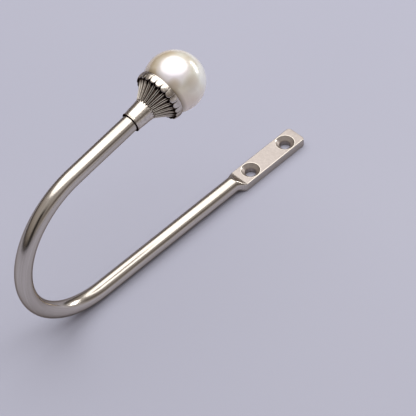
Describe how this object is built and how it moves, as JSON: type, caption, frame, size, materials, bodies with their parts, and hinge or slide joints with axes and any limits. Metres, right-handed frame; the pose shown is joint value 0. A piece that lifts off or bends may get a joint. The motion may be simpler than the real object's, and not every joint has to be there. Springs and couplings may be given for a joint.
{
  "type": "curtain holdback",
  "caption": "Wall-mounted curtain holdback: a rod bent into a U with a flattened screw plate and a fluted cup holding a ball finial.",
  "frame": {"origin": "on the wall face of the plate, midway between the two screw holes", "axes": "+Z out of the wall, the way the screws leave; +X along the rod from the bend to the plate end; the U lies in the XZ plane"},
  "size_m": [0.1765, 0.028, 0.1122],
  "materials": {
    "satin_nickel": "steel rod, brushed satin nickel plating",
    "antique_nickel": "zinc casting, antique nickel plating with dark patina in the flutes",
    "pearl_lacquer": "moulded ball with cream pearl lacquer",
    "stud_steel": "plain zinc-plated steel"
  },
  "bodies": {
    "root": {"hook_rod": "satin_nickel", "finial_cup": "antique_nickel", "pearl_ball": "pearl_lacquer", "finial_stud": "stud_steel"}
  },
  "joints": []
}
